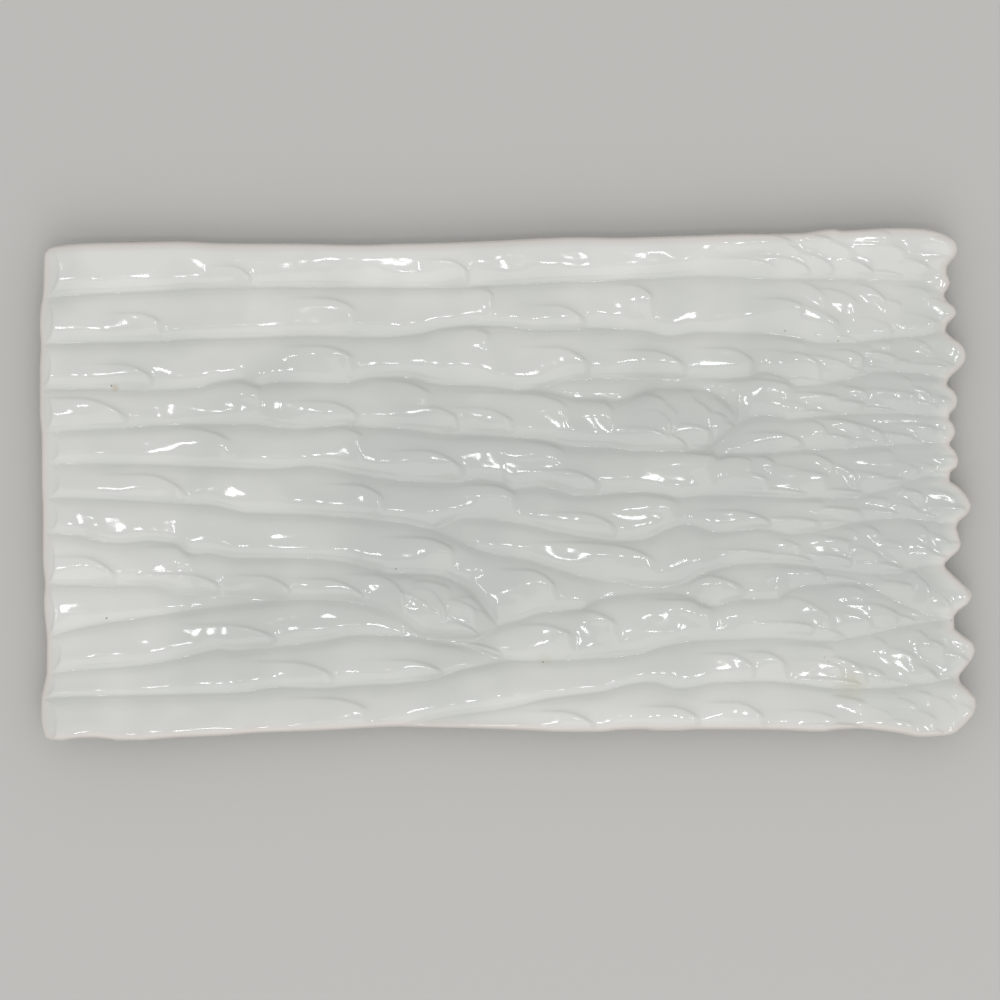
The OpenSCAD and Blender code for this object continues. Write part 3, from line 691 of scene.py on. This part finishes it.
def makeColumns():
    # Columns that all spears share, so that neighbours meet point for point: even steps, shorter
    # ones at both ends, and a column wherever a spear or a line starts or stops
    reach = grid["endMm"] / pxMm
    ease = reach * (1 - np.cos(np.linspace(0, math.pi / 2, grid["endSteps"])))
    even = np.arange(grid["cutX"] + reach, grid["tipX"] - reach, grid["along"] / pxMm)
    places = np.concatenate([grid["cutX"] + ease, even[1:], grid["tipX"] - ease[::-1]])
    knots = [lines[name][-1][0] for name in ("valley1", "valley3Stem", "valley4", "valley8Stem", "valley11",
                                             "valley14", "head5Front", "head12Front")]
    knots += [spear["start"] for spear in spears.values() if not spear.get("cut")]
    knots += [spear["end"] for spear in spears.values() if not spear.get("tip")]
    knots = np.unique(knots)
    clear = np.abs(places[:, None] - knots).min(1) > grid["clear"]
    return np.sort(np.concatenate([places[clear], knots]))


gridColumns = makeColumns()


def between(spear, x, v):
    back = lineThrough(spear["back"], x)
    return back + v * (lineThrough(spear["front"], x) - back)


def spearPlaces(spear):
    # Pixel places in rows of equal u and columns of equal v. u follows the shared columns, bent at
    # the two ends to meet the outline. v goes across between the spear's two lines.
    first = grid["cutX"] if spear.get("cut") else spear["start"]
    last = grid["tipX"] if spear.get("tip") else spear["end"]
    u = gridColumns[(gridColumns >= first - grid["slack"]) & (gridColumns <= last + grid["slack"])]
    widest = (lineThrough(spear["front"], u) - lineThrough(spear["back"], u)).max() * pxMm
    even = np.linspace(0, 1, int(widest / grid["across"]) + grid["atLeast"])
    v = grid["evenShare"] * even + (1 - grid["evenShare"]) * (1 - np.cos(even * math.pi)) / 2
    startX, endX = np.full(len(v), float(grid["cutX"])), grid["tipX"]
    if spear.get("cut"):
        for _ in range(grid["settle"]):
            startX = cutLine(between(spear, startX, v))
    if spear.get("tip"):
        endX = firstCrossing(lambda x: between(spear, x, v[None, :]), tipLine,
                             np.linspace(*grid["tipSearch"])[:, None])
    nearCut = 1 - smoothStep((u - grid["cutX"]) / grid["cutZone"])
    nearTip = 1 - smoothStep((grid["tipX"] - u) / grid["tipZone"])
    px = u[:, None] + np.outer(nearCut, startX - grid["cutX"]) + np.outer(nearTip, endX - grid["tipX"])
    return u, px, between(spear, px, v[None, :])


def spearSeat(u, top):
    # Two lines of points under the long borders, a little above the slab. They draw in from the
    # borders except at the two ends, and stand back under the ends.
    side = np.stack([top[:, 0], top[:, -1]], 1)
    seat = side.copy()
    bed = slabTop(seat[..., 0], seat[..., 1]) + grid["bed"]
    seat[..., 2] = np.minimum(bed, side[..., 2] - grid["seat"])
    away = unit((side - top[:, top.shape[1] // 2][:, None, :])[..., :2])
    ends = np.clip(np.minimum(u - u[0], u[-1] - u) * pxMm / grid["seatEase"], 0, 1)
    seat[..., :2] -= grid["seat"] * ends[:, None, None] * away
    fromCut, fromTip = (u - grid["cutX"]) * pxMm, (grid["tipX"] - u) * pxMm
    tuck = np.clip(1 - fromCut / grid["tuckZone"], 0, 1) - np.clip(1 - fromTip / grid["tuckZone"], 0, 1)
    seat[..., 0] += grid["tuck"] * tuck[:, None]
    return seat


def makeSpear(nodeName, spear):
    # The plate's top over the spear's places, closed by walls, a ladder underneath and two caps
    u, px, py = spearPlaces(spear)
    countU, countV = px.shape
    x, y = fromPhotoX(px), fromPhotoY(py)
    top = np.stack([x, y, topOf(x, y)], -1)
    points = np.concatenate([top.reshape(-1, 3), spearSeat(u, top).reshape(-1, 3)])
    base = countU * countV
    k = np.arange(countU - 1)
    wallBack = np.stack([k * countV, base + 2 * k, base + 2 * k + 2, (k + 1) * countV], -1)
    wallFront = np.stack([k * countV + countV - 1, (k + 1) * countV + countV - 1,
                          base + 2 * k + 3, base + 2 * k + 1], -1)
    under = np.stack([base + 2 * k, base + 2 * k + 1, base + 2 * k + 3, base + 2 * k + 2], -1)
    quads = np.concatenate([gridFaces(countU, countV), wallBack, wallFront, under])[:, ::-1]
    startCap = [base, base + 1] + list(range(countV))[::-1]
    endCap = [base + 2 * countU - 1, base + 2 * countU - 2] + list(range((countU - 1) * countV, base))
    downwards = np.tile([0.0, 0.0, -1.0], (2 * countU, 1))
    normals = np.concatenate([normalsOf(topOf, x, y).reshape(-1, 3), downwards])
    # Painted light, lighter towards the outline
    edgeLight = edgeNearness(x, y, glaze["edgeLightMm"], glaze["edgeLightMost"])
    rim = edgeNearness(x, y, glaze["rimMm"])
    hidden = np.zeros(2 * countU)
    # Glaze pool, also painted as shade in the valleys; then the painted light and the warm rim
    depth = [np.concatenate([field.ravel(), hidden]) for field in (sample(poolAndShadeMap, x, y), edgeLight, rim)]
    makePiece(nodeName + "_glazed", points, quads, [startCap, endCap], normals, depth, whiteGlaze,
              nodeName)


for nodeName, spear in spears.items():
    makeSpear(nodeName, spear)
print("spears made")

outline = {
    "cutSearch": (36.5, 60, 400), "tipSearch": (900, 985, 800),  # where a corner is looked for, in steps
    "sideSteps": 1500, "tipSteps": 2500, "cutSteps": 800,        # points along the four edges
}


def outlinePath(count):
    # The four edges in turn, anticlockwise seen from above, at equal steps of their length
    def corner(edge, line, search):
        x = float(firstCrossing(line, edge, np.linspace(*search)[:, None])[0])
        return x, float(line(x))

    backLeft = corner(cutLine, backLine, outline["cutSearch"])
    backRight = corner(tipLine, backLine, outline["tipSearch"])
    frontRight = corner(tipLine, frontLine, outline["tipSearch"])
    frontLeft = corner(cutLine, frontLine, outline["cutSearch"])
    xs = np.linspace(frontLeft[0], frontRight[0], outline["sideSteps"])
    front = np.stack([xs, frontLine(xs)], -1)
    ys = np.linspace(frontRight[1], backRight[1], outline["tipSteps"])
    right = np.stack([tipLine(ys), ys], -1)
    xs = np.linspace(backRight[0], backLeft[0], outline["sideSteps"])
    back = np.stack([xs, backLine(xs)], -1)
    ys = np.linspace(backLeft[1], frontLeft[1], outline["cutSteps"])
    cut = np.stack([cutLine(ys), ys], -1)
    path = np.concatenate([front[:-1], right[:-1], back[:-1], cut])
    path = np.stack([fromPhotoX(path[:, 0]), fromPhotoY(path[:, 1])], -1)
    lengths = np.concatenate([[0], np.cumsum(np.linalg.norm(np.diff(path, axis=0), axis=1))])
    at = np.linspace(0, lengths[-1], count, endpoint=False)
    return np.stack([np.interp(at, lengths, path[:, 0]), np.interp(at, lengths, path[:, 1])], -1)


body = {
    "around": 2400,     # points in a ring, then rings in each part
    "lidSteps": 4, "edgeSteps": 9, "underSteps": 24,
    "centre": 0.02,     # size of the innermost ring, as a share of the outline
    "lid": 0.94,        # how much more the lid's last ring has
    "lip": 0.5, "lipDrop": 0.7,  # how far in and down the hidden lip stands under the rim
    "tangent": 3,       # points each way that give the outline's direction
    "turn": 9,          # points each way that a corner's turn is spread over
}


def makeBody():
    # The outline is carried inwards for the rounded edge, a quarter ellipse, then shrunk towards
    # the middle for the underside. A hidden lid under the spears closes it.
    path = outlinePath(body["around"])
    tangent = np.roll(path, -body["tangent"], 0) - np.roll(path, body["tangent"], 0)
    facing = unit(np.stack([-tangent[:, 1], tangent[:, 0]], -1))
    # The rings go inwards in a direction that turns gradually at a corner, so that none folds over
    inward = unit(sum(np.roll(facing, shift, 0) for shift in range(-body["turn"], body["turn"] + 1)))
    radius = plate["edgeRadius"]
    middle = plate["valley"] - plate["edgeDrop"]
    rings, normals = [], []

    def ring(xy, offset, normal):
        z = slabTop(xy[:, 0], xy[:, 1]) + offset
        rings.append(np.concatenate([xy, z[:, None]], 1))
        normals.append(normal)

    def leaning(outward, down):
        return unit(np.concatenate([-facing * outward, np.full((len(path), 1), -down)], 1))

    lid = np.tile([0.0, 0.0, 1.0], (len(path), 1))
    for share in np.linspace(0, 1, body["lidSteps"] + 1)[:-1]:
        ring(path * (body["centre"] + body["lid"] * share), 0.0, lid)
    ring(path + inward * body["lip"], middle - body["lipDrop"], lid)
    for angle in np.linspace(0, math.pi / 2, body["edgeSteps"]):
        depth = (plate["slab"] + middle) * math.sin(angle)
        ring(path + inward * radius * (1 - math.cos(angle)), middle - depth,
             leaning(math.cos(angle), math.sin(angle)))
    inner = path + inward * radius
    for share in np.linspace(1, body["centre"], body["underSteps"])[1:]:
        xy = inner * share
        ring(xy, -plate["slab"], -normalsOf(slabTop, xy[:, 0], xy[:, 1]))
    points = np.concatenate(rings)
    quads = gridFaces(len(rings), body["around"], closeV=True)
    lidCap = list(range(body["around"]))
    underCap = list(range(len(points) - body["around"], len(points)))[::-1]
    x, y, z = points.T
    rim = edgeNearness(x, y, glaze["rimMm"]) * np.clip((z - slabTop(x, y)) / plate["slab"] + 1, 0, 1)
    # No pool underneath; painted light towards the outline, then the warm rim
    depth = [np.zeros(len(points)), edgeNearness(x, y, glaze["edgeLightMm"], glaze["edgeLightMost"]), rim]
    makePiece("plate_body_glazed", points, quads, [lidCap, underCap], np.concatenate(normals), depth,
              whiteGlaze, "plate_body")


makeBody()
print("body made")

foot = {
    "length": 244, "width": 116, "rail": 7, "radius": 20,
    "edge": 0.9,        # rounding of the rail's two lower edges
    "lean": 0.5,        # each wall leans in by this much
    "fillet": 1.4,      # glaze and slip in the corner under the slab
    "sunk": 0.3,        # how far it runs up into the slab
    "cornerSteps": 24, "edgeSteps": 6,
}


def makeFoot(material):
    # A rounded rectangle, as far outside or inside as the rail's profile says at each height
    halfLength, halfWidth, radius = foot["length"] / 2, foot["width"] / 2, foot["radius"]
    angle = np.linspace(0, math.pi / 2, foot["cornerSteps"])[None, :] + np.arange(4)[:, None] * math.pi / 2
    direction = np.stack([np.cos(angle), np.sin(angle)], -1).reshape(-1, 2)
    quadrant = np.repeat([(1, 1), (-1, 1), (-1, -1), (1, -1)], foot["cornerSteps"], axis=0)
    centre = quadrant * np.array([halfLength - radius, halfWidth - radius])
    edge, lean, fillet, rail = foot["edge"], foot["lean"], foot["fillet"], foot["rail"]
    top = plate["foot"]
    arc = np.linspace(0, math.pi / 2, foot["edgeSteps"])
    outer = [(fillet * (1 - math.sin(a)), top - fillet * (1 - math.cos(a))) for a in arc]
    lower = [(-lean - edge * (1 - math.cos(a)), edge * (1 - math.sin(a))) for a in arc]
    profile = [(fillet, top + foot["sunk"])] + outer + lower
    profile += [(-rail - inset, height) for inset, height in reversed(profile)]
    profile = np.array(profile)
    rings = [np.concatenate([centre + direction * (radius + offset), np.full((len(centre), 1), height)], 1)
             for offset, height in profile]
    points = np.concatenate(rings)
    count = len(centre)
    quads = gridFaces(len(rings), count, closeU=True, closeV=True)
    forward = np.roll(profile, -1, 0) - np.roll(profile, 1, 0)
    sideways = unit(np.stack([-forward[:, 1], forward[:, 0]], -1))
    normals = np.concatenate([np.concatenate([direction * outward, np.full((count, 1), upward)], 1)
                              for outward, upward in sideways])
    makePiece("foot_ring_wiped", points, quads, [], normals, np.zeros((3, len(points))), material,
              "foot_ring")


bareFoot = {
    "clay": "#d8cdbd",      # fired clay where the glaze was wiped off
    "clayDark": "#c4b6a2",
    "glazed": "#d3d5d1",
    "lineMm": 1.1, "lineSoftMm": 0.2,  # height that the glaze stops at, and how soft its edge is
    "grainMm": 0.8, "grainStrength": 0.2, "grainDepthMm": 0.2, "grainDetail": 3,
    "roughness": 0.85,
}


def makeBareFoot():
    # Earthenware wiped free of glaze where it stands: dull and grainy below the line, glassy above
    material, tree = newMaterial("wipedEarthenwareFoot")
    place = addNode(tree, "TexCoord").outputs["Object"]
    grain = addNode(tree, "TexNoise", {"Vector": place, "Scale": 1000 / bareFoot["grainMm"],
                                       "Detail": bareFoot["grainDetail"]}).outputs["Fac"]
    clay = addNode(tree, "Mix", {0: grain, 6: bareFoot["clay"], 7: bareFoot["clayDark"]},
                   data_type="RGBA").outputs[2]
    height = addNode(tree, "SeparateXYZ", {"Vector": place}).outputs["Z"]
    line, soft = bareFoot["lineMm"] * mm, bareFoot["lineSoftMm"] * mm
    glazed = addNode(tree, "MapRange", {"Value": height, "From Min": line - soft,
                                        "From Max": line + soft}).outputs["Result"]
    colour = addNode(tree, "Mix", {0: glazed, 6: clay, 7: bareFoot["glazed"]}, data_type="RGBA").outputs[2]
    rough = addNode(tree, "MapRange", {"Value": glazed, "To Min": bareFoot["roughness"],
                                       "To Max": glaze["roughness"]}).outputs["Result"]
    bump = addNode(tree, "Bump", {"Height": grain, "Strength": bareFoot["grainStrength"],
                                  "Distance": bareFoot["grainDepthMm"] * mm}).outputs["Normal"]
    shader = addNode(tree, "BsdfPrincipled", {"Base Color": colour, "Roughness": rough,
                                              "IOR": glaze["ior"], "Normal": bump})
    addNode(tree, "OutputMaterial", {"Surface": shader.outputs["BSDF"]})
    return material


makeFoot(makeBareFoot())
print("foot made")

studio = {
    "floor": "#cac9c6", "floorRoughness": 0.9, "floorHalf": 2.0,
    "world": "#ffffff", "worldStrength": 0.72,
    "panel": (0.1, -1.2, 1.35), "panelSize": 1.5, "panelWatts": 4.3,
    "lamps": [(-0.45, -0.42), (-0.15, -0.5), (0.13, -0.4), (0.42, -0.48)],
    "lampHeight": 2.2, "lampAcross": 0.1, "lampAlong": 0.17, "lampWatts": 0.72,
    "distance": 1.4, "face": 0.012,  # camera above the plate's face, and the face above the floor
    "sensor": 36.0,
}


def makeFloor():
    # Matt paper, four metres square, a touch darker than the plate
    material, tree = newMaterial("mattPaperFloor")
    shader = addNode(tree, "BsdfPrincipled", {"Base Color": studio["floor"],
                                              "Roughness": studio["floorRoughness"]})
    addNode(tree, "OutputMaterial", {"Surface": shader.outputs["BSDF"]})
    sheet = bpy.data.meshes.new("floor")
    half = studio["floorHalf"]
    sheet.from_pydata([(-half, -half, 0), (half, -half, 0), (half, half, 0), (-half, half, 0)],
                      [], [(0, 1, 2, 3)])
    sheet.materials.append(material)
    addObject("floor", sheet)


def makeLamp(name, place, target, across, along, watts):
    lamp = bpy.data.lights.new(name, "AREA")
    lamp.shape = "ELLIPSE"
    lamp.size = across
    lamp.size_y = along
    lamp.energy = watts
    light = addObject(name, lamp)
    light.location = place
    aim = np.array(target) - np.array(place)
    flat = math.hypot(aim[0], aim[1])
    light.rotation_euler = (math.atan2(flat, -aim[2]), 0, math.atan2(aim[1], aim[0]) - math.pi / 2)


def makeStudio():
    world = bpy.data.worlds.new("softRoom")
    world.use_nodes = True
    background = world.node_tree.nodes["Background"]
    background.inputs["Color"].default_value = linear(studio["world"])
    background.inputs["Strength"].default_value = studio["worldStrength"]
    bpy.context.scene.world = world
    makeLamp("frontPanel", studio["panel"], (0, 0, 0), studio["panelSize"], studio["panelSize"],
             studio["panelWatts"])
    for number, (x, y) in enumerate(studio["lamps"]):
        makeLamp("lamp" + str(number), (x, y, studio["lampHeight"]), (x, 0, 0), studio["lampAcross"],
                 studio["lampAlong"], studio["lampWatts"])


def makeCamera():
    # Straight above the middle of the photograph's frame
    lens = bpy.data.cameras.new("camera")
    lens.sensor_width = studio["sensor"]
    lens.lens = studio["sensor"] * studio["distance"] / (photo["size"] * pxMm * mm)
    camera = addObject("camera", lens)
    camera.location = (fromPhotoX(photo["centre"]) * mm, fromPhotoY(photo["centre"]) * mm,
                       studio["distance"] + studio["face"])
    bpy.context.scene.camera = camera


makeFloor()
makeStudio()
makeCamera()
bpy.context.scene.view_settings.view_transform = "Standard"
print("studio made")
